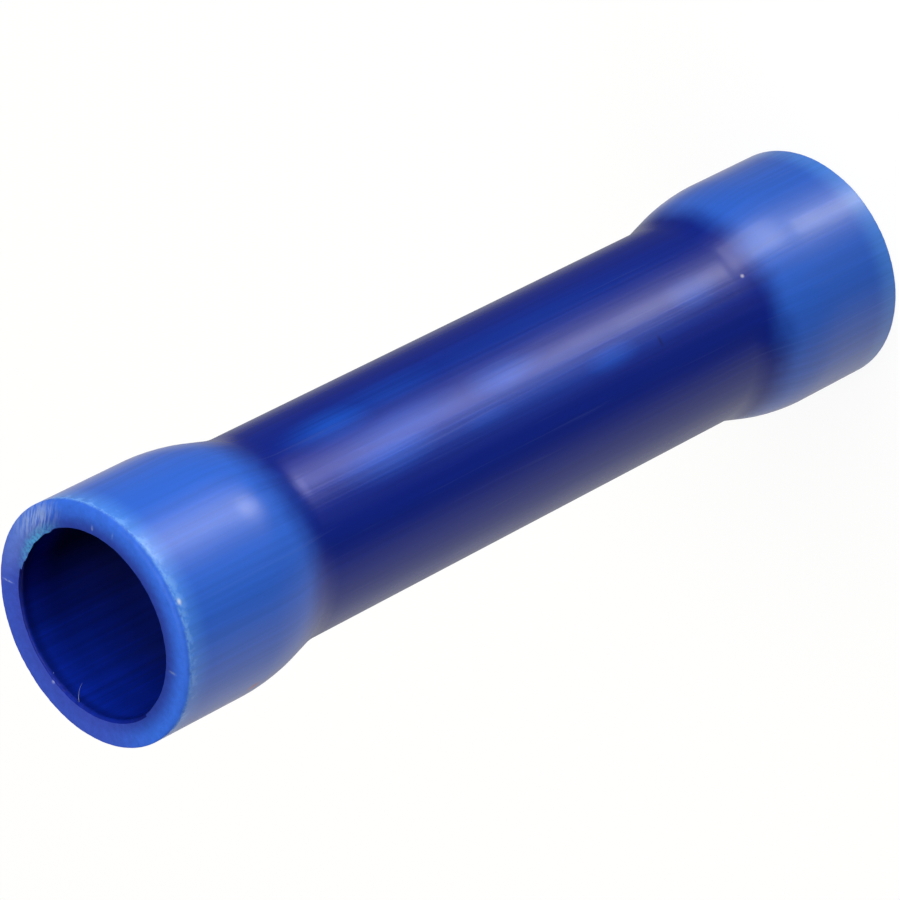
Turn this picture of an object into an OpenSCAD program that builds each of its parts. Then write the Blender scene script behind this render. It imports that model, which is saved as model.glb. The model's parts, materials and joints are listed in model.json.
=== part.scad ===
// Insulated butt splice connector: a tin-plated copper barrel gripped in a blue vinyl sleeve.
// It stands on one cut end: the axis is Z and the origin is the middle of the lower mouth.

/* [Barrel] */
// Diameter of the bore that takes a stripped conductor
barrel_bore = 2.3; // [1.4:0.1:4]
// Wall of the copper tube
barrel_wall = 0.8; // [0.5:0.05:1.5]
// Length of the copper tube
barrel_length = 17.1; // [10:0.1:30]
// How far the barrel and the neck over it sit below the middle of the sleeve
barrel_drop = 0.25; // [0:0.05:1]
// Lead-in chamfer at each mouth of the bore
lead_in = 0.3; // [0.1:0.05:0.35]
// Chamfer on the outer edge of each end
edge_break = 0.12; // [0.05:0.01:0.15]

/* [Conductor stop] */
// How far the rolled stop stands in from the bore, and its groove in from the outside
stop_height = 0.45; // [0.1:0.05:0.6]
// Width of the rolled groove
stop_width = 1.8; // [1.2:0.1:4]
// Radius on the crest, the floor and the edges of the groove
stop_round = 0.4; // [0.1:0.05:0.6]

/* [Sleeve] */
// Wall of the vinyl tube
sleeve_wall = 0.71; // [0.4:0.01:1.2]
// Gap round the barrel where the neck grips it
grip_clearance = 0.02; // [0.01:0.01:0.1]
// How far the barrel runs out of the neck into each shoulder
barrel_reach = 0.9; // [0.2:0.1:2]
// How far each bell stands out from the neck
flare = 0.45; // [0.2:0.01:1.2]
// Straight length of a bell when the barrel is in the middle
bell_length = 2.7; // [1.5:0.05:8]
// Length of the slope between a bell and the neck
shoulder_length = 2.65; // [1.8:0.05:6]
// Radius inside the crown of a shoulder, where the bell ends
crown_radius = 4.4; // [0.5:0.1:6]
// Radius outside the root of a shoulder, where the neck begins
root_radius = 2.3; // [0.5:0.1:6]
// Rounding of the cut edges at each mouth
rim_round = 0.05; // [0.02:0.01:0.2]

/* [Hidden] */
$fn = 96;
arc_steps = 8;

vinyl_blue = "#2f5fc8";
tin_plate = "#c8c6c0";

bore_r = barrel_bore / 2;
barrel_r = bore_r + barrel_wall;
neck_bore_r = barrel_r + grip_clearance;
neck_r = neck_bore_r + sleeve_wall;
bell_bore_r = neck_bore_r + flare;
bell_r = neck_r + flare;

neck_length = barrel_length - 2 * barrel_reach;
lower_bell = bell_length - barrel_drop;
upper_bell = bell_length + barrel_drop;
sleeve_length = lower_bell + upper_bell + 2 * shoulder_length + neck_length;
barrel_middle = sleeve_length / 2 - barrel_drop;

// Points on an arc, from one angle to the other
function arc(centre, radius, from, to) =
    [for (i = [0 : arc_steps])
        let (angle = from + (to - from) * i / arc_steps)
        centre + radius * [cos(angle), sin(angle)]];

// The same points in the opposite order
function reversed(points) = [for (i = [len(points) - 1 : -1 : 0]) points[i]];

// The same points seen from the other end of a piece of that length
function turned(points, length) = [for (p = points) [p.x, length - p.y]];

// S-shaped slope from a high radius down to a low one: a crown arc, a straight flank and a root arc,
// each tangent to the next. Radii too large for the slope shrink until the flank between them is gone.
function slope(high_r, low_r, start, run, crown, root) =
    let (
        fall = high_r - low_r,
        most = (run ^ 2 + fall ^ 2) / (2 * fall),
        fit = min(1, most / (crown + root)),
        both = fit * (crown + root),
        flank = sqrt(max(0, run ^ 2 + fall ^ 2 - 2 * fall * both)),
        tilt = atan2(run, both - fall) - atan2(flank, both)
    )
    concat(
        arc([high_r - fit * crown, start], fit * crown, 0, tilt),
        arc([low_r + fit * root, start + run], fit * root, 180 + tilt, 180)
    );

// Section of one sleeve end from the neck's bore round the mouth to the neck's outside,
// as radius and depth from the mouth
function sleeve_end(bell) =
    concat(
        reversed(slope(bell_bore_r, neck_bore_r, bell, shoulder_length, crown_radius, root_radius + sleeve_wall)),
        arc([bell_bore_r + rim_round, rim_round], rim_round, 180, 270),
        arc([bell_r - rim_round, rim_round], rim_round, 270, 360),
        slope(bell_r, neck_r, bell, shoulder_length, crown_radius + sleeve_wall, root_radius)
    );

// Section of a rolled groove in a wall of that radius, rising through the barrel's middle
function groove(wall_r) =
    let (
        half = stop_width / 2,
        down = slope(wall_r, wall_r - stop_height, barrel_middle - half, half, stop_round, stop_round),
        up = turned(down, 2 * barrel_middle)
    )
    concat(down, [for (i = [len(up) - 2 : -1 : 0]) up[i]]);

// Vinyl tube, belled at both ends and drawn in over the barrel
module insulation_sleeve() {
    color(vinyl_blue)
        rotate_extrude()
            polygon(concat(
                sleeve_end(lower_bell),
                turned(reversed(sleeve_end(upper_bell)), sleeve_length)
            ));
}

// Copper tube with a stop rolled in at its middle, where the two conductors end
module barrel() {
    low = barrel_middle - barrel_length / 2;
    high = barrel_middle + barrel_length / 2;
    color(tin_plate)
        rotate_extrude()
            polygon(concat(
                [
                    [bore_r, low + lead_in],
                    [bore_r + lead_in, low],
                    [barrel_r - edge_break, low],
                    [barrel_r, low + edge_break]
                ],
                groove(barrel_r),
                [
                    [barrel_r, high - edge_break],
                    [barrel_r - edge_break, high],
                    [bore_r + lead_in, high],
                    [bore_r, high - lead_in]
                ],
                reversed(groove(bore_r))
            ));
}

insulation_sleeve();
barrel();
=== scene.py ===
"""Insulated butt splice connector: a blue vinyl sleeve, belled at both ends, over a tin-plated barrel."""

import json
import math

import bmesh
import bpy
from bpy.props import FloatProperty, FloatVectorProperty, IntProperty, PointerProperty
from mathutils import Matrix, Vector, noise


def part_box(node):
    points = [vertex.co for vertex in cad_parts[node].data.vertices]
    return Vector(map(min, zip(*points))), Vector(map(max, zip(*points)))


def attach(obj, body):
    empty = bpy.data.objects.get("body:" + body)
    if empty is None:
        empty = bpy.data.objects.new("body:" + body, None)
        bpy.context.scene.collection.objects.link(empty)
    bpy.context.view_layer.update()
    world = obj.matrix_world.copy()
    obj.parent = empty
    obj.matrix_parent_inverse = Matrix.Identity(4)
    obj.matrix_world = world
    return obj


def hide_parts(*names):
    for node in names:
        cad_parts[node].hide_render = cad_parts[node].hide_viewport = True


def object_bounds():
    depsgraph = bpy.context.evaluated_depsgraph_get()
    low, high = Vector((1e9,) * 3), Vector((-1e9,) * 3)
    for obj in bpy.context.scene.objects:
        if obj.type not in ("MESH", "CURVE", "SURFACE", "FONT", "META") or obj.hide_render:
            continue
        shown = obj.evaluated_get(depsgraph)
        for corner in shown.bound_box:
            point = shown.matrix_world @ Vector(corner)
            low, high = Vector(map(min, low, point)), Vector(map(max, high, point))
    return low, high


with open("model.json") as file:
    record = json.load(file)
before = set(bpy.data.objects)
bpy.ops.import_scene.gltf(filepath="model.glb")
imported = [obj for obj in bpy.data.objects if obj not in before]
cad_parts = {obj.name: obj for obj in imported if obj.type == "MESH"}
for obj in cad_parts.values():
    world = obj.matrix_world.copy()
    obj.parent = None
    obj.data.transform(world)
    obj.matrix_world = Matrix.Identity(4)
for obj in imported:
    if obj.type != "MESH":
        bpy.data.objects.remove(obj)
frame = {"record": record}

bl_info = {
    "name": "Insulated butt splice",
    "version": (1, 0, 0),
    "blender": (4, 5, 0),
    "location": "3D View > Sidebar > Butt splice",
    "description": "Dresses the sleeve and the barrel of a butt splice connector and sets up its studio",
    "category": "Object",
}

CAD_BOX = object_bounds()
SLEEVE_LOW, SLEEVE_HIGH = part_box("insulation_sleeve")
BARREL_LOW, BARREL_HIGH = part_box("barrel")
BODY = "root"
MM = 0.001
INSIDE_BOX = 0.0001 * MM
TOP_MM = SLEEVE_HIGH[2] / MM
VINYL_IOR = 1.46
SMOOTH = {"interpolation_type": 'SMOOTHSTEP'}
# how far forward a place on the rim faces where the knife's rolled edge starts, and where it is full
KNIFE_SIDE = (-0.05, 0.35)


def bore_radius(mount_name):
    """The radius of a bore that the record states as a mount, in metres."""
    for mount in frame["record"]["mounts"]:
        if mount["name"] == mount_name:
            return mount["dims"]["r_mm"] * MM
    raise KeyError(mount_name)


def linear(hex_colour):
    """An sRGB hex colour as linear red, green, blue and alpha."""
    channels = [int(hex_colour[i:i + 2], 16) / 255 for i in (1, 3, 5)]
    return [c / 12.92 if c <= 0.04045 else ((c + 0.055) / 1.055) ** 2.4 for c in channels] + [1.0]


def length_property(name, description, millimetres):
    """A length that is written in millimetres and kept in metres."""
    return FloatProperty(
        name=name, description=description, default=millimetres * MM, unit='LENGTH', precision=5)


def colour_property(name, description, hex_colour):
    """A surface colour."""
    return FloatVectorProperty(
        name=name, description=description, default=linear(hex_colour), subtype='COLOR',
        size=4, min=0, max=1)


class SleeveSettings(bpy.types.PropertyGroup):
    """Sizes and colours of the vinyl sleeve."""

    wall: length_property("Wall", "Thickness of the vinyl tube", 0.71)
    flare: length_property("Flare", "How far each bell stands out from the neck", 0.45)
    lower_bell: length_property("Lower bell", "Straight length of the lower bell", 2.45)
    upper_bell: length_property("Upper bell", "Straight length of the upper bell", 2.95)
    shoulder: length_property("Shoulder", "Length of the slope between a bell and the neck", 2.65)
    crown: length_property("Crown", "Radius inside a shoulder's crown, where the bell ends", 4.4)
    root: length_property("Root", "Radius outside a shoulder's root, where the neck begins", 2.3)
    rim: length_property("Rim", "Rounding of the sharp cut edges at each mouth", 0.03)
    roll: length_property("Roll", "Rounding of the outer edge where the knife came in", 0.16)
    bevel: length_property("Bevel", "Rounding of the bore's edge where the knife went out", 0.09)
    cut_depth: length_property("Cut depth", "How deep the knife left the cut faces uneven", 0.03)
    cut_zone: length_property("Cut zone", "How far down the walls the knife's marks reach", 0.19)
    cut_ring: length_property("Cut ring", "Spacing of the rings of points across a cut face", 0.06)
    lip: length_property("Lip", "How far the torn lip stands into the upper mouth", 0.05)
    steps: IntProperty(name="Steps", description="Faces round the tube", default=480, min=96, max=720)
    bell_blue: colour_property("Bell blue", "Vinyl with air behind it, which lets light through", "#2963D6")
    neck_blue: colour_property("Neck blue", "Vinyl with the dark barrel behind it", "#03218F")
    # painted reflection: the tin's shine seen through the wall, laid into the colour as pale blue
    painted_reflection_blue: colour_property("Patch blue", "Vinyl that lies close on the bright tin", "#1350C8")
    # painted glow: light let in by the cut, laid into the colour near the mouths
    painted_glow_blue: colour_property("Edge blue", "Vinyl near the mouths, where the cut lets light in", "#4A8CF0")
    # torn vinyl flecks, painted bright as the highlights they catch on the rolled edge
    fleck_and_glint_blue: colour_property("Fleck blue", "Torn vinyl at the outer edge of the cut", "#6CA6FA")
    # painted light and shade inside the bells: one colour for the lit side, one for the dark side
    painted_lit_bore_blue: colour_property("Bore blue", "Vinyl inside the bells, on the side that is lit", "#0D34D0")
    painted_shade_bore_blue: colour_property("Bore, deep", "Vinyl inside the bells, on the dark side", "#01045F")
    cut_inner: colour_property("Cut, inner", "Matt vinyl on the cut face, next to the bore", "#2840A4")
    cut_outer: colour_property("Cut, outer", "Matt vinyl on the cut face, next to the outside", "#376FE8")
    cut_lilac: colour_property("Cut, lilac", "Matt vinyl on the cut where the knife went out", "#3C51C2")
    lip_blue: colour_property("Lip blue", "Thin torn vinyl at the edge of the upper bore", "#4FA2DC")
    scuff_white: colour_property("Scuff white", "Vinyl that has turned pale where it was scraped", "#A4BCEC")
    shaving_white: colour_property("Shaving white", "Slivers of vinyl that still hang on the rim", "#8399DC")


class BarrelSettings(bpy.types.PropertyGroup):
    """Sizes and colour of the tin-plated barrel."""

    lead_in: length_property("Lead-in", "Chamfer at each mouth of the bore", 0.3)
    edge_break: length_property("Edge break", "Chamfer on the outer edge of each end", 0.12)
    stop_height: length_property("Stop height", "How far the rolled stop stands in from the wall", 0.45)
    stop_width: length_property("Stop width", "Width of the rolled groove", 1.8)
    stop_round: length_property("Stop rounding", "Radius on the groove's crest, floor and edges", 0.4)
    steps: IntProperty(name="Steps", description="Faces round the barrel", default=192, min=48, max=720)
    tin: colour_property("Tin", "Tin plating on drawn copper", "#C9C7C1")


class StageSettings(bpy.types.PropertyGroup):
    """The camera's place and the colours of the floor and the softbox."""

    tilt: FloatProperty(
        name="Tilt", description="Angle between the part's axis and the line of sight",
        default=math.radians(49.564), subtype='ANGLE')
    roll: FloatProperty(
        name="Roll", description="Turn of the camera from level, which lays the part down in the picture",
        default=math.radians(26.961), subtype='ANGLE')
    distance: length_property("Distance", "From the middle of the part to the camera", 150.17)
    aside: length_property("Aside", "How far the part stands to the right of the picture's middle", 0.441)
    above: length_property("Above", "How far the part stands above the picture's middle", 0.393)
    lens: FloatProperty(
        name="Lens", description="Focal length in millimetres on a 36 mm sensor", default=241.96)
    floor: colour_property("Floor", "White sheet under and behind the part", "#FFFFFF")
    lamp: colour_property("Lamp", "Slightly warm white of the softbox", "#FFFBF2")


def put(tree, kind, inputs=(), out=0, **settings):
    """Adds a node with its settings, fills its inputs with values or links, and gives one of its outputs."""
    added = tree.nodes.new(kind)
    for name, value in settings.items():
        setattr(added, name, value)
    for name, value in dict(inputs).items():
        if isinstance(value, bpy.types.NodeSocket):
            tree.links.new(value, added.inputs[name])
        else:
            added.inputs[name].default_value = value
    return added.outputs[out]


def new_material(name):
    """An empty material, the tree that holds it, and its shader's inputs."""
    material = bpy.data.materials.new(name)
    material.use_nodes = True
    return material, material.node_tree, material.node_tree.nodes["Principled BSDF"].inputs


def place_in_mm(tree):
    """The place on a piece, in millimetres."""
    coordinates = put(tree, "ShaderNodeTexCoord", out="Object")
    return put(tree, "ShaderNodeVectorMath", {0: coordinates, "Scale": 1 / MM}, operation='SCALE')


def outward_at(tree, place):
    """The direction from the axis to a place."""
    across = put(tree, "ShaderNodeVectorMath", {0: place, 1: (1, 1, 0)}, operation='MULTIPLY')
    return put(tree, "ShaderNodeVectorMath", {0: across}, operation='NORMALIZE')


def depth_below_cut(tree, height):
    """How far a height on the sleeve lies from the nearer cut end."""
    from_top = put(tree, "ShaderNodeMath", {0: TOP_MM, 1: height}, operation='SUBTRACT')
    return put(tree, "ShaderNodeMath", {0: height, 1: from_top}, operation='MINIMUM')


def drawn_lines(tree, place, outward, radius, spacing, run):
    """Fine lines along the axis, as a die leaves them: spacing apart round the tube and about run long."""
    around = put(tree, "ShaderNodeVectorMath", {0: outward, "Scale": radius / spacing}, operation='SCALE')
    stretched = put(
        tree, "ShaderNodeVectorMath", {0: place, 1: (0, 0, 1 / run), 2: around}, operation='MULTIPLY_ADD')
    return put(
        tree, "ShaderNodeTexNoise", {"Vector": stretched, "Scale": 1.0, "Detail": 3.0, "Roughness": 0.6})


def on_tube(radius, angle, height):
    """A point on a tube of that radius, at an angle in degrees from +X, in the units of the radius."""
    turn = math.radians(angle)
    return (radius * math.cos(turn), radius * math.sin(turn), height)


def spot(tree, place, where, reach):
    """A soft oval mark on a tube, one at its centre and nothing past its reach. Its place is a radius, an
    angle and a height, and it reaches along the radius, round the tube and along the axis, in mm."""
    turn = -math.radians(where[1])
    offset = put(tree, "ShaderNodeVectorMath", {0: place, 1: on_tube(*where)}, operation='SUBTRACT')
    turned_back = put(
        tree, "ShaderNodeVectorRotate", {"Vector": offset, "Angle": turn}, rotation_type='Z_AXIS')
    share = put(tree, "ShaderNodeVectorMath", {0: turned_back, 1: reach}, operation='DIVIDE')
    far = put(tree, "ShaderNodeVectorMath", {0: share}, out="Value", operation='LENGTH')
    return put(tree, "ShaderNodeMapRange", {0: far, 1: 1.0, 2: 0.0}, **SMOOTH)


def layered(tree, colour, layers):
    """A colour with others laid over it, each through its own mask."""
    for mask, over in layers:
        colour = put(tree, "ShaderNodeMix", {0: mask, 6: colour, 7: over}, out=2, data_type='RGBA')
    return colour


def mark_layers(tree, place, broken, marks):
    """A layer for each small mark, broken up by a noise."""
    layers = []
    for where, reach, strength, hex_colour in marks:
        mark = spot(tree, place, where, reach)
        mask = put(tree, "ShaderNodeMath", {0: mark, 1: broken}, operation='MULTIPLY')
        faded = put(tree, "ShaderNodeMath", {0: mask, 1: strength}, operation='MULTIPLY')
        layers.append((faded, linear(hex_colour)))
    return layers


# painted reflections of the tin seen through the wall, most of them along the highlight
PAINTED_REFLECTIONS = (
    # angle, height, reach across, reach along, strength
    (-84, 12.4, 0.80, 10.5, 0.45),
    (-78, 6.5, 0.65, 1.4, 0.60),
    (-87, 10.0, 0.55, 1.8, 0.90),
    (-86, 14.4, 0.55, 2.2, 0.60),
    (-82, 17.6, 0.70, 2.8, 0.90),
    (-71, 13.3, 0.70, 2.0, 0.80),
    (-70, 16.8, 0.75, 3.4, 0.60),
    (-50, 12.4, 0.90, 9.5, 0.22),
    (-49, 16.4, 0.85, 3.4, 0.45),
    (-51, 18.4, 0.80, 2.2, 0.90),
    (130, 15.0, 0.80, 3.4, 0.60),
    (60, 9.0, 0.70, 3.0, 0.65),
)
SKIN_MARKS = (
    # radius, angle and height; reach along the radius, round the tube and along the axis; strength; colour
    ((2.72, -81, 4.72), (0.10, 0.07, 0.08), 0.7, "#D8D6F0"),
    ((2.68, -92, 8.25), (0.10, 0.24, 0.09), 0.6, "#050F55"),
    ((3.13, -165, 23.2), (0.20, 0.24, 0.30), 0.9, "#9C4C78"),
    ((3.12, -98, 25.79), (0.10, 0.12, 0.09), 0.9, "#D5E4FF"),
)
CUT_MARKS = (
    ((2.88, 50, TOP_MM), (0.30, 0.04, 0.2), 0.60, "#A9BCEA"),
    ((2.62, -40, TOP_MM), (0.11, 0.05, 0.2), 0.90, "#8FA0DC"),
    ((2.75, -54, TOP_MM), (0.16, 0.05, 0.2), 0.40, "#7F9CE0"),
    ((2.66, -134, TOP_MM), (0.17, 0.06, 0.2), 0.60, "#8AA2D6"),
    ((2.54, 108, TOP_MM), (0.10, 0.07, 0.2), 0.90, "#A8B6EC"),
)


def extruded_vinyl(settings):
    """Plasticised vinyl, extruded and belled: glossy and faintly lined along its length. It is dark over the
    barrel and bright where only air is behind it. The tin's reflection through the wall is painted in as
    pale streaks, most of them along the highlight. Over the barrel some of the shine comes from the metal
    behind, and so takes the vinyl's blue. A glow of the light let in by the cut is painted near the mouths,
    the torn flecks at the outer edge are painted bright as highlights, and the colour is painted lighter
    towards the upper end. The bells, stretched when they were formed, have a faint pale bloom at their
    edges."""
    material, tree, shader = new_material("extruded vinyl, belled")
    place = place_in_mm(tree)
    outward = outward_at(tree, place)
    height = put(tree, "ShaderNodeSeparateXYZ", {0: place}, out="Z")
    depth = depth_below_cut(tree, height)
    neck_mm = (SLEEVE_HIGH[0] - settings.flare) / MM
    lines = drawn_lines(tree, place, outward, neck_mm, spacing=0.11, run=9.0)
    scratches = drawn_lines(tree, place, outward, neck_mm, spacing=0.16, run=8.0)
    tears = put(tree, "ShaderNodeTexNoise", {"Vector": place, "Scale": 3.6, "Detail": 3.0, "Roughness": 0.6})
    clouds = put(
        tree, "ShaderNodeTexNoise", {"Vector": place, "Scale": 0.7, "Detail": 3.0, "Roughness": 0.55})
    grain = put(tree, "ShaderNodeTexNoise", {"Vector": place, "Scale": 5.0, "Detail": 3.0, "Roughness": 0.5})

    wavy = put(tree, "ShaderNodeMapRange", {0: clouds, 1: 0.2, 2: 0.8, 3: -0.2, 4: 0.2})
    level = put(tree, "ShaderNodeMath", {0: height, 1: wavy}, operation='ADD')
    top, bottom = BARREL_HIGH[2] / MM, BARREL_LOW[2] / MM
    above = put(tree, "ShaderNodeMapRange", {0: level, 1: top - 0.65, 2: top + 0.8}, **SMOOTH)
    below = put(tree, "ShaderNodeMapRange", {0: level, 1: bottom + 0.45, 2: bottom - 0.6}, **SMOOTH)
    bells = put(tree, "ShaderNodeMath", {0: above, 1: below}, operation='MAXIMUM')

    # painted reflection of the tin, as pale streaky patches, most of them beside the highlight
    painted_reflection = 0.0
    for angle, along, across, reach, strength in PAINTED_REFLECTIONS:
        mask = spot(tree, place, (neck_mm, angle, along), (across, across, reach))
        patch = put(tree, "ShaderNodeMath", {0: mask, 1: strength}, operation='MULTIPLY')
        painted_reflection = put(tree, "ShaderNodeMath", {0: painted_reflection, 1: patch}, operation='MAXIMUM')
    streaks = put(tree, "ShaderNodeMapRange", {0: lines, 1: 0.25, 2: 0.65, 3: 0.75}, **SMOOTH)
    painted_reflection = put(tree, "ShaderNodeMath", {0: painted_reflection, 1: streaks}, operation='MULTIPLY')

    # painted glow of the light that the cut lets in, strongest at the mouths
    edge = put(tree, "ShaderNodeMapRange", {0: depth, 1: 0.9, 2: 0.05, 4: 0.8}, **SMOOTH)
    torn = put(tree, "ShaderNodeMapRange", {0: tears, 1: 0.46, 2: 0.62, 4: 0.75}, **SMOOTH)
    near_cut = put(tree, "ShaderNodeMapRange", {0: depth, 1: 0.48, 2: 0.14}, **SMOOTH)
    front = put(
        tree, "ShaderNodeVectorMath", {0: outward, 1: (0, -1, 0)}, out="Value", operation='DOT_PRODUCT')
    half = put(tree, "ShaderNodeMapRange", {0: height, 1: 0.0, 2: TOP_MM, 3: -1.0, 4: 1.0})
    knife_side = put(tree, "ShaderNodeMath", {0: front, 1: half}, operation='MULTIPLY')
    starts, full = KNIFE_SIDE
    entry = put(tree, "ShaderNodeMapRange", {0: knife_side, 1: starts, 2: full}, **SMOOTH)
    # torn flecks on the knife's side, painted bright as the highlights they catch
    flecks = put(tree, "ShaderNodeMath", {0: torn, 1: near_cut}, operation='MULTIPLY')
    flecks = put(tree, "ShaderNodeMath", {0: flecks, 1: entry}, operation='MULTIPLY')
    scored = put(tree, "ShaderNodeMapRange", {0: scratches, 1: 0.62, 2: 0.74, 4: 0.035}, **SMOOTH)
    colour = layered(tree, settings.neck_blue[:], [
        (painted_reflection, settings.painted_reflection_blue[:]),
        (bells, settings.bell_blue[:]),
        (edge, settings.painted_glow_blue[:]),
        (flecks, settings.fleck_and_glint_blue[:]),
        (scored, settings.scuff_white[:]),
    ] + mark_layers(tree, place, 1.0, SKIN_MARKS))
    line_tone = put(tree, "ShaderNodeMapRange", {0: lines, 1: 0.2, 2: 0.8, 3: 0.88, 4: 1.12})
    # painted light: the colour grows lighter towards the upper end, as light falling off along the part
    painted_falloff = put(tree, "ShaderNodeMapRange", {0: height, 1: 0.0, 2: TOP_MM, 3: 0.97, 4: 1.18})
    tone = put(tree, "ShaderNodeMath", {0: line_tone, 1: painted_falloff}, operation='MULTIPLY')
    toned = put(tree, "ShaderNodeVectorMath", {0: colour, "Scale": tone}, operation='SCALE')
    tree.links.new(toned, shader["Base Color"])

    share = put(tree, "ShaderNodeMapRange", {0: height, 1: 9.0, 2: 16.0, 3: 0.07, 4: 0.13})
    shine = put(tree, "ShaderNodeMapRange", {0: bells, 3: share, 4: 0.0})
    tree.links.new(shine, shader["Metallic"])
    rough = put(tree, "ShaderNodeMapRange", {0: clouds, 1: 0.25, 2: 0.75, 3: 0.18, 4: 0.25})
    tree.links.new(rough, shader["Roughness"])
    shader["IOR"].default_value = VINYL_IOR
    gloss = put(tree, "ShaderNodeMapRange", {0: bells, 3: 0.5, 4: 0.6})
    tree.links.new(gloss, shader["Specular IOR Level"])
    bloom = put(tree, "ShaderNodeMath", {0: bells, 1: 0.3}, operation='MULTIPLY')
    tree.links.new(bloom, shader["Sheen Weight"])
    shader["Sheen Roughness"].default_value = 0.35
    relief = put(tree, "ShaderNodeMath", {0: grain, 1: 0.5, 2: lines}, operation='MULTIPLY_ADD')
    bump = put(tree, "ShaderNodeBump", {"Strength": 0.5, "Distance": 0.008 * MM, "Height": relief})
    tree.links.new(bump, shader["Normal"])
    return material


def bore_vinyl(settings):
    """Vinyl inside the tube: the same skin, deep blue, with faint lines from the mandrel. Its light and
    shade
    are painted into its colour: a lit side and a dark side, and shade that deepens away from the mouth."""
    material, tree, shader = new_material("extruded vinyl, bore")
    place = place_in_mm(tree)
    outward = outward_at(tree, place)
    height = put(tree, "ShaderNodeSeparateXYZ", {0: place}, out="Z")
    depth = depth_below_cut(tree, height)
    bore_mm = bore_radius("upper_insulation_bell") / MM
    lines = drawn_lines(tree, place, outward, bore_mm, spacing=0.14, run=12.0)
    # painted light: the side of the bore that faces this way is painted lit, the other side dark
    lit_side = on_tube(1.0, 122, 0)
    facing = put(
        tree, "ShaderNodeVectorMath", {0: outward, 1: lit_side}, out="Value", operation='DOT_PRODUCT')
    lit = put(tree, "ShaderNodeMapRange", {0: facing, 1: 0.0, 2: 1.1}, **SMOOTH)

    # painted shade: the dark side grows darker deeper in
    painted_depth_shade = put(tree, "ShaderNodeMapRange", {0: depth, 1: 1.3, 2: 0.45, 3: 0.12}, **SMOOTH)
    deep = put(tree, "ShaderNodeVectorMath", {0: settings.painted_shade_bore_blue[:3], "Scale": painted_depth_shade}, operation='SCALE')
    colour = layered(tree, deep, [(lit, settings.painted_lit_bore_blue[:])])
    # painted shade just inside the rim, a painted band of light below it, and painted shade deeper down
    rim = put(tree, "ShaderNodeMapRange", {0: depth, 1: 0.08, 2: 0.4, 3: 0.55, 4: 1.05}, **SMOOTH)
    glow = put(tree, "ShaderNodeMapRange", {0: depth, 1: 0.9, 2: 1.7, 3: 1.0, 4: 1.32}, **SMOOTH)
    fall = put(tree, "ShaderNodeMapRange", {0: depth, 1: 3.6, 2: 2.0, 3: 0.45}, **SMOOTH)
    tone = put(tree, "ShaderNodeMapRange", {0: lines, 1: 0.2, 2: 0.8, 3: 0.7, 4: 1.3})
    for share in (rim, glow, fall):
        tone = put(tree, "ShaderNodeMath", {0: tone, 1: share}, operation='MULTIPLY')
    toned = put(tree, "ShaderNodeVectorMath", {0: colour, "Scale": tone}, operation='SCALE')
    tree.links.new(toned, shader["Base Color"])
    shader["Roughness"].default_value = 0.42
    shader["IOR"].default_value = VINYL_IOR
    shader["Specular IOR Level"].default_value = 0.15
    bump = put(tree, "ShaderNodeBump", {"Strength": 0.4, "Distance": 0.008 * MM, "Height": lines})
    tree.links.new(bump, shader["Normal"])
    return material


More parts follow.
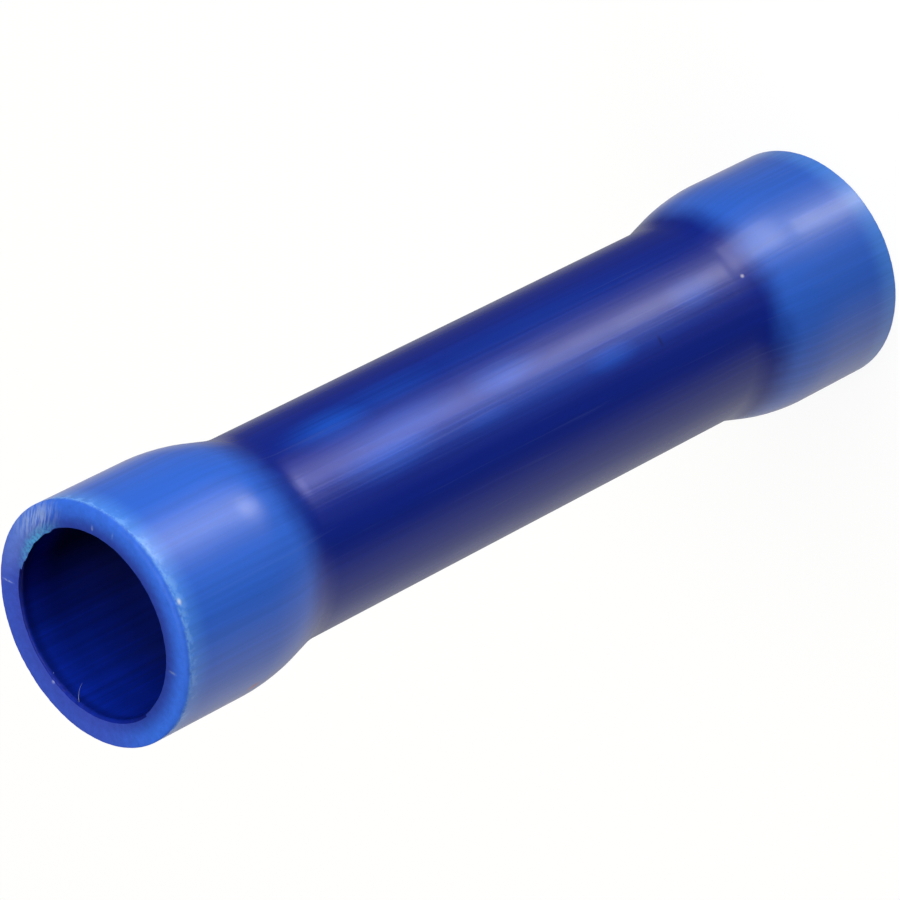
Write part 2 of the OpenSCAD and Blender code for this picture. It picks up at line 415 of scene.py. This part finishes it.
def cut_vinyl(settings):
    """Vinyl cut square with a knife: matt, and paler towards the outside, where the edge is rolled over and
    torn into flecks that are painted bright as the highlights they catch. Part of the rim is scraped white,
    next to thin torn vinyl that lets the light through."""
    material, tree, shader = new_material("knife-cut vinyl")
    place = place_in_mm(tree)
    outward = outward_at(tree, place)
    radius = put(tree, "ShaderNodeVectorMath", {0: place, 1: outward}, out="Value", operation='DOT_PRODUCT')
    height = put(tree, "ShaderNodeSeparateXYZ", {0: place}, out="Z")
    depth = depth_below_cut(tree, height)
    blots = put(
        tree, "ShaderNodeTexNoise", {"Vector": place, "Scale": 5.0, "Detail": 4.0, "Roughness": 0.65})
    specks = put(
        tree, "ShaderNodeTexNoise", {"Vector": place, "Scale": 11.0, "Detail": 2.0, "Roughness": 0.6})
    stroke_turn = (0, 0, math.radians(130))
    stroke_place = put(
        tree, "ShaderNodeMapping", {"Vector": place, "Rotation": stroke_turn, "Scale": (0.6, 0.08, 1)},
        vector_type='TEXTURE')
    strokes = put(
        tree, "ShaderNodeTexNoise", {"Vector": stroke_place, "Scale": 1.0, "Detail": 2.0, "Roughness": 0.6})

    broken = put(tree, "ShaderNodeMapRange", {0: specks, 1: 0.36, 2: 0.6, 3: 0.3}, **SMOOTH)
    pale = put(tree, "ShaderNodeMapRange", {0: radius, 1: 2.45, 2: 2.98}, **SMOOTH)
    exit_side = on_tube(1.0, 95, 0)
    facing = put(
        tree, "ShaderNodeVectorMath", {0: outward, 1: exit_side}, out="Value", operation='DOT_PRODUCT')
    left = put(tree, "ShaderNodeMapRange", {0: facing, 1: -0.05, 2: 0.75, 4: 0.85}, **SMOOTH)
    rolled = put(tree, "ShaderNodeMapRange", {0: depth, 1: 0.07, 2: 0.14}, **SMOOTH)
    # torn flecks on the rolled edge, painted bright as the highlights they catch
    flecks = put(tree, "ShaderNodeMath", {0: rolled, 1: broken}, operation='MULTIPLY')
    torn_side = spot(tree, place, (2.42, 13, TOP_MM), (2.0, 1.45, 1.0))
    near_bore = put(tree, "ShaderNodeMapRange", {0: radius, 1: 2.72, 2: 2.48}, **SMOOTH)
    lip = put(tree, "ShaderNodeMath", {0: torn_side, 1: near_bore}, operation='MULTIPLY')
    lip = put(tree, "ShaderNodeMath", {0: lip, 1: broken}, operation='MULTIPLY')
    worn = spot(tree, place, (2.85, 22, TOP_MM), (0.70, 2.0, 1.0))
    worn = put(tree, "ShaderNodeMath", {0: worn, 1: 0.2}, operation='MULTIPLY')
    stroked = put(tree, "ShaderNodeMapRange", {0: strokes, 1: 0.38, 2: 0.6, 4: 0.65}, **SMOOTH)
    scraped_side = spot(tree, place, (2.84, 2, TOP_MM), (0.55, 1.25, 1.0))
    scraped = put(tree, "ShaderNodeMath", {0: scraped_side, 1: stroked}, operation='MULTIPLY')
    colour = layered(tree, settings.cut_inner[:], [
        (pale, settings.cut_outer[:]),
        (left, settings.cut_lilac[:]),
        (flecks, settings.fleck_and_glint_blue[:]),
        (worn, settings.scuff_white[:]),
        (scraped, settings.scuff_white[:]),
        (lip, settings.lip_blue[:]),
    ] + mark_layers(tree, place, broken, CUT_MARKS))
    tone = put(tree, "ShaderNodeMapRange", {0: blots, 1: 0.25, 2: 0.75, 3: 0.86, 4: 1.14})
    toned = put(tree, "ShaderNodeVectorMath", {0: colour, "Scale": tone}, operation='SCALE')
    tree.links.new(toned, shader["Base Color"])
    shader["Roughness"].default_value = 0.48
    shader["IOR"].default_value = VINYL_IOR
    shader["Specular IOR Level"].default_value = 0.15
    bump = put(tree, "ShaderNodeBump", {"Strength": 0.5, "Distance": 0.02 * MM, "Height": blots})
    tree.links.new(bump, shader["Normal"])
    return material


def shaved_vinyl(settings):
    """Slivers that the knife left on the rim: thin vinyl, turned pale where it was bent."""
    material, tree, shader = new_material("shaved vinyl")
    place = place_in_mm(tree)
    bends = put(tree, "ShaderNodeTexNoise", {"Vector": place, "Scale": 8.0, "Detail": 2.0, "Roughness": 0.5})
    tone = put(tree, "ShaderNodeMapRange", {0: bends, 1: 0.25, 2: 0.75, 3: 0.7, 4: 1.1})
    white = settings.shaving_white[:3]
    toned = put(tree, "ShaderNodeVectorMath", {0: white, "Scale": tone}, operation='SCALE')
    tree.links.new(toned, shader["Base Color"])
    shader["Roughness"].default_value = 0.4
    shader["IOR"].default_value = VINYL_IOR
    return material


def tin_plated_copper(settings):
    """Tin plated on a drawn copper tube: a soft grey-white metal, satin, faintly lined along its length."""
    material, tree, shader = new_material("tin-plated copper, drawn")
    place = place_in_mm(tree)
    outward = outward_at(tree, place)
    lines = drawn_lines(tree, place, outward, BARREL_HIGH[0] / MM, spacing=0.08, run=6.0)
    clouds = put(
        tree, "ShaderNodeTexNoise", {"Vector": place, "Scale": 1.6, "Detail": 3.0, "Roughness": 0.6})
    tone = put(tree, "ShaderNodeMapRange", {0: clouds, 1: 0.25, 2: 0.75, 3: 0.86, 4: 1.06})
    toned = put(tree, "ShaderNodeVectorMath", {0: settings.tin[:3], "Scale": tone}, operation='SCALE')
    tree.links.new(toned, shader["Base Color"])
    shader["Metallic"].default_value = 1.0
    rough = put(tree, "ShaderNodeMapRange", {0: lines, 1: 0.25, 2: 0.75, 3: 0.28, 4: 0.44})
    tree.links.new(rough, shader["Roughness"])
    bump = put(tree, "ShaderNodeBump", {"Strength": 0.4, "Distance": 0.006 * MM, "Height": lines})
    tree.links.new(bump, shader["Normal"])
    return material


def add_piece(name, mesh_data, materials, nodes=()):
    """Makes a finished bmesh an object of the part, smooth, on the part's one body."""
    mesh = bpy.data.meshes.new(name)
    mesh_data.to_mesh(mesh)
    mesh_data.free()
    for material in materials:
        mesh.materials.append(material)
    mesh.shade_smooth()
    piece = bpy.data.objects.new(name, mesh)
    bpy.context.scene.collection.objects.link(piece)
    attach(piece, BODY)
    if nodes:
        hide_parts(*nodes)
    return piece


def slope_corners(high, low, start, run, crown, root):
    """Corners of an S-shaped slope from a high radius down to a low one, each with its place and how far its
    rounding reaches: a crown arc, a straight flank and a root arc, each tangent to the next."""
    fall = high - low
    both = crown + root
    flank = math.sqrt(run ** 2 + fall ** 2 - 2 * fall * both)
    tilt = math.atan2(run, both - fall) - math.atan2(flank, both)
    crown_reach = crown * math.tan(tilt / 2)
    root_reach = root * math.tan(tilt / 2)
    return [(high, start + crown_reach, crown_reach), (low, start + run - root_reach, root_reach)]


def turned(corners, length):
    """The same corners seen from the other end of a piece of that length, in the opposite order."""
    return [(radius, length - along, reach) for radius, along, reach in reversed(corners)]


def spun_section(corners, segments, longest, steps):
    """Spins a section about Z. Each corner is a radius, a height and the reach of its rounding."""
    section = bmesh.new()
    points = [section.verts.new((radius, 0, along)) for radius, along, reach in corners]
    section.faces.new(points)
    for point, (radius, along, reach) in zip(points, corners):
        if reach:
            bmesh.ops.bevel(
                section, geom=[point], offset=reach, offset_type='OFFSET', affect='VERTICES',
                segments=segments, profile=0.5, material=-1)
    bmesh.ops.delete(section, geom=section.faces[:], context='FACES_ONLY')
    for edge in section.edges[:]:
        cuts = int(edge.calc_length() / longest)
        if cuts:
            bmesh.ops.subdivide_edges(section, edges=[edge], cuts=cuts)
    bmesh.ops.spin(
        section, geom=section.verts[:] + section.edges[:], cent=(0, 0, 0), axis=(0, 0, 1), dvec=(0, 0, 0),
        angle=math.tau, steps=steps, use_merge=True)
    bmesh.ops.remove_doubles(section, verts=section.verts[:], dist=0.0005 * MM)
    bmesh.ops.recalc_face_normals(section, faces=section.faces[:])
    section.normal_update()
    return section


def smooth_step(value, start, end):
    """Nothing at start, one at end, and a smooth rise between them."""
    share = min(max((value - start) / (end - start), 0.0), 1.0)
    return share * share * (3 - 2 * share)


def rolled_over(inward, depth, reach):
    """Moves a point of a square edge onto a round of that reach, without changing its place in the section.
    It is given by how far it lies inward from the wall and how deep below the cut."""
    share = (depth - inward + reach) / (2 * reach)
    if not 0 < share < 1:
        return inward, depth
    turn = share * math.pi / 2
    return reach * (1 - math.sin(turn)), reach * (1 - math.cos(turn))


class SPLICE_OT_insulation_sleeve(bpy.types.Operator):
    """Build the vinyl sleeve: one tube, belled at both ends and drawn in over the barrel"""

    bl_idname = "splice.insulation_sleeve"
    bl_label = "Insulation sleeve"

    OUTSIDE, BORE, CUT = 0, 1, 2

    def execute(self, context):
        settings = context.scene.splice_sleeve
        self.length = SLEEVE_HIGH[2] - SLEEVE_LOW[2]
        self.outer = SLEEVE_HIGH[0] - INSIDE_BOX
        self.bore = bore_radius("upper_insulation_bell")
        corners = self.section(settings)
        sleeve = spun_section(corners, segments=5, longest=0.6 * MM, steps=settings.steps)
        for face in sleeve.faces:
            face.material_index = self.finish(face, settings)
        self.cut(sleeve, settings)
        materials = [extruded_vinyl(settings), bore_vinyl(settings), cut_vinyl(settings)]
        add_piece("sleeve", sleeve, materials, ["insulation_sleeve"])
        return {'FINISHED'}

    def section(self, settings):
        """The sleeve's section, from the lower mouth's bore round the outside and back through the bore."""
        outer, bore, rim, zone = self.outer, self.bore, settings.rim, settings.cut_zone
        flat = outer - bore - 2 * rim
        rings = round(flat / settings.cut_ring)
        face = [(bore + rim + flat * i / rings, 0, 0) for i in range(1, rings)]

        def wall(mouth, bell, crown, root):
            edge = [(mouth, 0, rim)] + [(mouth, share * zone, 0) for share in (0.25, 0.5, 0.75, 1, 2)]
            return edge + slope_corners(mouth, mouth - settings.flare, bell, settings.shoulder, crown, root)

        def end(bell):
            inside = wall(bore, bell, settings.crown, settings.root + settings.wall)
            outside = wall(outer, bell, settings.crown + settings.wall, settings.root)
            return inside[::-1] + face + outside

        return end(settings.lower_bell) + turned(end(settings.upper_bell), self.length)

    def knife(self, place):
        """Tells if a place is in the upper half, and gives its depth below the cut, its direction from the
        axis and what the knife did there. It came in at the front of the upper mouth and the back of the
        lower one, and where it went out it left a bevel, or on one side of the upper mouth a lip."""
        upper = place.z > self.length / 2
        depth = self.length - place.z if upper else place.z
        outward = Vector((place.x, place.y, 0)).normalized()
        front = -outward.y if upper else outward.y
        entry = smooth_step(front, *KNIFE_SIDE)
        angle = math.degrees(math.atan2(outward.y, outward.x))
        lip = upper * smooth_step(angle, -16, 0) * smooth_step(angle, 48, 24)
        return upper, depth, outward, entry, (1 - entry) * (1 - lip), lip

    def finish(self, face, settings):
        """The finish of a face before the knife's marks. The cut takes in the rolled edge, not the bevel."""
        middle = face.calc_center_median()
        upper, depth, outward, entry, bevel, lip = self.knife(middle)
        if abs(face.normal.z) > 0.6:
            bevelled = middle.xy.length - self.bore < settings.bevel * bevel
            return self.BORE if bevelled else self.CUT
        if face.normal.dot(outward) < 0:
            return self.BORE
        return self.CUT if depth < settings.roll * entry * 0.9 else self.OUTSIDE

    def cut(self, sleeve, settings):
        """Moves the points at the mouths as a blunt knife does: an uneven face, an outer edge that is rolled
        over and chipped where the knife came in, a bevelled bore where it went out, and a torn lip in the
        upper mouth."""
        for point in sleeve.verts:
            upper, depth, outward, entry, bevel, lip = self.knife(point.co)
            if depth > settings.cut_zone:
                continue
            radius = point.co.xy.length
            fade = 1 - depth / settings.cut_zone
            fine = noise.noise(point.co * (8 / MM))
            broad = noise.noise(point.co * (1.5 / MM))
            if radius > (self.outer + self.bore) / 2:
                reach = max(settings.roll * entry, settings.rim)
                inward, sunk = rolled_over(self.outer - radius, depth, reach)
                chips = max(noise.noise(outward * 26) + 0.5 * noise.noise(outward * 61), 0)
                chipped = smooth_step(depth, 0, settings.cut_zone / 2) * fade * entry
                radius = self.outer - inward - settings.cut_depth * chips * chipped
            else:
                reach = max(settings.bevel * bevel, settings.rim)
                inward, sunk = rolled_over(radius - self.bore, depth, reach)
                ragged = max(0.65 + 0.6 * noise.noise(outward * 9), 0)
                torn = lip * max(1 - inward / settings.cut_zone, 0) * ragged
                radius = self.bore + inward - settings.lip * torn * fade
            sunk += settings.cut_depth * fade * max(0.2 + 0.35 * broad + 0.3 * fine, 0)
            height = self.length - sunk if upper else sunk
            point.co = outward * radius + Vector((0, 0, height))


SHAVINGS = (
    # angle, radius and depth below the cut, of the root and then of the tip; thickness at the root, in mm
    ((128, 2.46, 0.05), (125, 1.95, 0.15), 0.026),
    ((108, 2.50, 0.06), (104, 2.40, 0.08), 0.060),
    ((-135, 2.53, 0.06), (-138, 2.42, 0.08), 0.060),
    ((-40, 2.60, 0.06), (-43, 2.47, 0.07), 0.055),
)


class SPLICE_OT_rim_shavings(bpy.types.Operator):
    """Add the slivers of vinyl that the knife left hanging on the upper rim"""

    bl_idname = "splice.rim_shavings"
    bl_label = "Rim shavings"

    def execute(self, context):
        settings = context.scene.splice_sleeve
        shavings = bmesh.new()
        for root, tip, thickness in SHAVINGS:
            sliver = bpy.data.meshes.new("sliver")
            made = self.sliver(self.at(*root), self.at(*tip), thickness * MM)
            made.to_mesh(sliver)
            made.free()
            shavings.from_mesh(sliver)
            bpy.data.meshes.remove(sliver)
        bmesh.ops.recalc_face_normals(shavings, faces=shavings.faces[:])
        add_piece("rim_shavings", shavings, [shaved_vinyl(settings)])
        return {'FINISHED'}

    def at(self, angle, radius, depth):
        """A place given by its angle, its radius and its depth below the cut."""
        return Vector(on_tube(radius * MM, angle, SLEEVE_HIGH[2] - depth * MM))

    def sliver(self, root, tip, thickness):
        """A thin tapered sliver, curved a little to one side."""
        along = tip - root
        made = bmesh.new()
        bmesh.ops.create_cone(
            made, cap_ends=True, segments=8, radius1=thickness / 2, radius2=thickness / 8,
            depth=along.length)
        sides = [
            edge for edge in made.edges
            if abs(edge.verts[0].co.z - edge.verts[1].co.z) > along.length / 2]
        bmesh.ops.subdivide_edges(made, edges=sides, cuts=5)
        for point in made.verts:
            share = point.co.z / along.length
            point.co.x = 0.5 * point.co.x + 0.12 * along.length * (1 - 4 * share ** 2)
        turn = along.to_track_quat('Z', 'Y').to_matrix().to_4x4()
        bmesh.ops.transform(made, matrix=Matrix.Translation((root + tip) / 2) @ turn, verts=made.verts[:])
        return made


class SPLICE_OT_barrel(bpy.types.Operator):
    """Build the barrel: a drawn tube with a stop rolled in at its middle"""

    bl_idname = "splice.barrel"
    bl_label = "Barrel"

    def execute(self, context):
        settings = context.scene.splice_barrel
        bore, outer = bore_radius("upper_conductor_bore"), BARREL_HIGH[0]
        bottom, top = BARREL_LOW[2], BARREL_HIGH[2]
        corners = (
            [(bore + settings.lead_in, bottom, 0), (outer - settings.edge_break, bottom, 0),
             (outer, bottom + settings.edge_break, 0)]
            + self.groove(settings, outer, (bottom + top) / 2)
            + [(outer, top - settings.edge_break, 0), (outer - settings.edge_break, top, 0),
               (bore + settings.lead_in, top, 0), (bore, top - settings.lead_in, 0)]
            + self.groove(settings, bore, (bottom + top) / 2)[::-1]
            + [(bore, bottom + settings.lead_in, 0)])
        barrel = spun_section(corners, segments=5, longest=0.8 * MM, steps=settings.steps)
        add_piece("tinned_barrel", barrel, [tin_plated_copper(settings)], ["barrel"])
        return {'FINISHED'}

    def groove(self, settings, wall, middle):
        """Corners of the rolled groove in a wall of that radius, rising through the barrel's middle. The
        floor's rounding is a little smaller, so that its two halves don't meet in one point."""
        half, edge, floor = settings.stop_width / 2, settings.stop_round, 0.98 * settings.stop_round
        near_half = slope_corners(wall, wall - settings.stop_height, middle - half, half, edge, floor)
        return near_half + turned(near_half, 2 * middle)


# a softbox that fades out to both sides, in upright strips: the radiance of each, then their angles
SOFTBOX = (0.14, 0.16, 0.25, 0.8, 1.4, 2.2, 2.9, 2.3, 1.6, 0.95, 0.42, 0.15)
STRIP_START, STRIP_TURN, STRIP_WIDTH, STRIP_LOW, STRIP_HIGH = -16, 8, 6.4, -51, -8
STRIP_DISTANCE = 0.3
LAMPS = (
    # name, azimuth from the camera's side towards +X, elevation, width, height, radiance, distance
    ("softbox_core", 34, -47, 16, 13, 1.5, 0.3),
    ("softbox_bulb", 33, -46, 9, 6, 2.0, 0.3),
    ("softbox_head", 38, -20, 28, 24, 2.4, 0.3),
    ("fill", 42, 15, 60, 30, 2.4, 0.12),
    ("side", -80, 20, 40, 30, 1.0, 0.3),
    ("overhead", 40, 85, 30, 30, 7.5, 0.3),
)
ROOM_DIM = 0.12
ROOM_GLOWS = (
    # direction, the cosines of the angles where the glow starts and is full, radiance
    ((-0.78, 0.28, -0.56), 0.61, 1.0, 0.55),
    ((0.1, 0.75, -0.65), 0.86, 1.0, 0.28),
)
# how bright the floor is by itself, and how much of the lamps' light it adds, which shows the shadow
FLOOR_GLOW, FLOOR_LIT = 0.885, 0.15
SWEEP_RADIUS, SWEEP_HEIGHT, SWEEP_CURVE = 0.8, 0.9, 0.35


class SPLICE_OT_stage(bpy.types.Operator):
    """Set up the white sweep, the soft lamps, the room's light and the camera"""

    bl_idname = "splice.stage"
    bl_label = "Stage"

    def execute(self, context):
        settings = context.scene.splice_stage
        self.middle = Vector([(a + b) / 2 for a, b in zip(*CAD_BOX)])
        context.scene.view_settings.view_transform = 'Standard'
        self.add_sweep(settings)
        middle, tall = (STRIP_LOW + STRIP_HIGH) / 2, STRIP_HIGH - STRIP_LOW
        strips = [
            ("softbox_%d" % place, STRIP_START + place * STRIP_TURN, middle, STRIP_WIDTH, tall, radiance,
             STRIP_DISTANCE)
            for place, radiance in enumerate(SOFTBOX)]
        for lamp in strips + list(LAMPS):
            self.add_lamp(settings, *lamp)
        self.light_room(context.scene)
        self.add_camera(context.scene, settings)
        return {'FINISHED'}

    def add_sweep(self, settings):
        """A round white floor that curves up into a wall. It shows to the camera alone, so that the part's
        sides, which lie down in the picture, mirror the dim room and not the sheet under it."""
        sweep = bmesh.new()
        places = ((0, 0, 0), (SWEEP_RADIUS, 0, 0), (SWEEP_RADIUS, 0, SWEEP_HEIGHT))
        corners = [sweep.verts.new(place) for place in places]
        for pair in zip(corners, corners[1:]):
            sweep.edges.new(pair)
        bmesh.ops.bevel(
            sweep, geom=[corners[1]], offset=SWEEP_CURVE, offset_type='OFFSET', affect='VERTICES',
            segments=12, profile=0.5, material=-1)
        bmesh.ops.spin(
            sweep, geom=sweep.verts[:] + sweep.edges[:], cent=(0, 0, 0), axis=(0, 0, 1), dvec=(0, 0, 0),
            angle=math.tau, steps=64, use_merge=True)
        bmesh.ops.remove_doubles(sweep, verts=sweep.verts[:], dist=MM)
        bmesh.ops.recalc_face_normals(sweep, faces=sweep.faces[:])
        mesh = bpy.data.meshes.new("sweep")
        sweep.to_mesh(mesh)
        sweep.free()
        mesh.shade_smooth()
        material, tree, shader = new_material("white paper sweep")
        shader["Base Color"].default_value = [FLOOR_LIT * c for c in settings.floor[:3]] + [1]
        shader["Roughness"].default_value = 0.9
        shader["Specular IOR Level"].default_value = 0.0
        shader["Emission Color"].default_value = settings.floor[:]
        shader["Emission Strength"].default_value = FLOOR_GLOW
        mesh.materials.append(material)
        floor = bpy.data.objects.new("sweep", mesh)
        bpy.context.scene.collection.objects.link(floor)
        for ray in ("diffuse", "glossy", "transmission", "volume_scatter", "shadow"):
            setattr(floor, "visible_" + ray, False)

    def add_lamp(self, settings, name, azimuth, elevation, width, height, radiance, distance):
        """A soft rectangular lamp that faces the part. Its size is given by the angles that it fills."""
        turn, rise = math.radians(azimuth), math.radians(elevation)
        away = Vector((math.cos(rise) * math.sin(turn), -math.cos(rise) * math.cos(turn), math.sin(rise)))
        lamp = bpy.data.lights.new(name, 'AREA')
        lamp.shape = 'RECTANGLE'
        lamp.color = settings.lamp[:3]
        lamp.size = 2 * distance * math.tan(math.radians(width) / 2)
        lamp.size_y = 2 * distance * math.tan(math.radians(height) / 2)
        lamp.energy = radiance * math.pi * lamp.size * lamp.size_y
        placed = bpy.data.objects.new(name, lamp)
        placed.location = self.middle + away * distance
        placed.rotation_euler = away.to_track_quat('Z', 'Y').to_euler()
        placed.visible_camera = False
        bpy.context.scene.collection.objects.link(placed)

    def light_room(self, scene):
        """A dim room, brighter towards a white card on one side and a white wall behind the part."""
        world = bpy.data.worlds.new("room")
        world.use_nodes = True
        tree = world.node_tree
        direction = put(tree, "ShaderNodeTexCoord", out="Generated")
        strength = ROOM_DIM
        for side, start, full, radiance in ROOM_GLOWS:
            facing = put(
                tree, "ShaderNodeVectorMath", {0: direction, 1: side}, out="Value", operation='DOT_PRODUCT')
            glow = put(tree, "ShaderNodeMapRange", {0: facing, 1: start, 2: full, 4: radiance}, **SMOOTH)
            strength = put(tree, "ShaderNodeMath", {0: strength, 1: glow}, operation='ADD')
        tree.links.new(strength, tree.nodes["Background"].inputs["Strength"])
        tree.nodes["Background"].inputs["Color"].default_value = (1, 1, 1, 1)
        scene.world = world

    def add_camera(self, scene, settings):
        """A camera that looks down on the part at its tilt, rolled until the part lies as it is seen."""
        back = Vector((0, -math.sin(settings.tilt), math.cos(settings.tilt)))
        level_up = Vector((0, math.cos(settings.tilt), math.sin(settings.tilt)))
        level_right = Vector((1, 0, 0))
        right = -math.sin(settings.roll) * level_right - math.cos(settings.roll) * level_up
        up = math.cos(settings.roll) * level_right - math.sin(settings.roll) * level_up
        place = self.middle + back * settings.distance - right * settings.aside - up * settings.above
        camera = bpy.data.cameras.new("camera")
        camera.lens = settings.lens
        camera.sensor_width = 36
        camera.clip_start = 0.005
        camera.clip_end = 10
        placed = bpy.data.objects.new("camera", camera)
        axes = Matrix((right, up, back)).transposed().to_4x4()
        placed.matrix_world = Matrix.Translation(place) @ axes
        scene.collection.objects.link(placed)
        scene.camera = placed


class SPLICE_PT_panel(bpy.types.Panel):
    """Lists the pieces of the butt splice and its stage"""

    bl_label = "Butt splice"
    bl_idname = "SPLICE_PT_panel"
    bl_space_type = 'VIEW_3D'
    bl_region_type = 'UI'
    bl_category = "Butt splice"

    def draw(self, context):
        for operator in OPERATORS:
            self.layout.operator(operator.bl_idname)


SETTINGS = {"splice_sleeve": SleeveSettings, "splice_barrel": BarrelSettings, "splice_stage": StageSettings}
OPERATORS = (SPLICE_OT_insulation_sleeve, SPLICE_OT_rim_shavings, SPLICE_OT_barrel, SPLICE_OT_stage)
CLASSES = (*SETTINGS.values(), *OPERATORS, SPLICE_PT_panel)


def register():
    for cls in CLASSES:
        bpy.utils.register_class(cls)
    for name, group in SETTINGS.items():
        setattr(bpy.types.Scene, name, PointerProperty(type=group))


def unregister():
    for name in SETTINGS:
        delattr(bpy.types.Scene, name)
    for cls in reversed(CLASSES):
        bpy.utils.unregister_class(cls)


def main():
    register()
    bpy.ops.splice.insulation_sleeve()
    bpy.ops.splice.rim_shavings()
    bpy.ops.splice.barrel()
    bpy.ops.splice.stage()


if __name__ == "__main__":
    main()
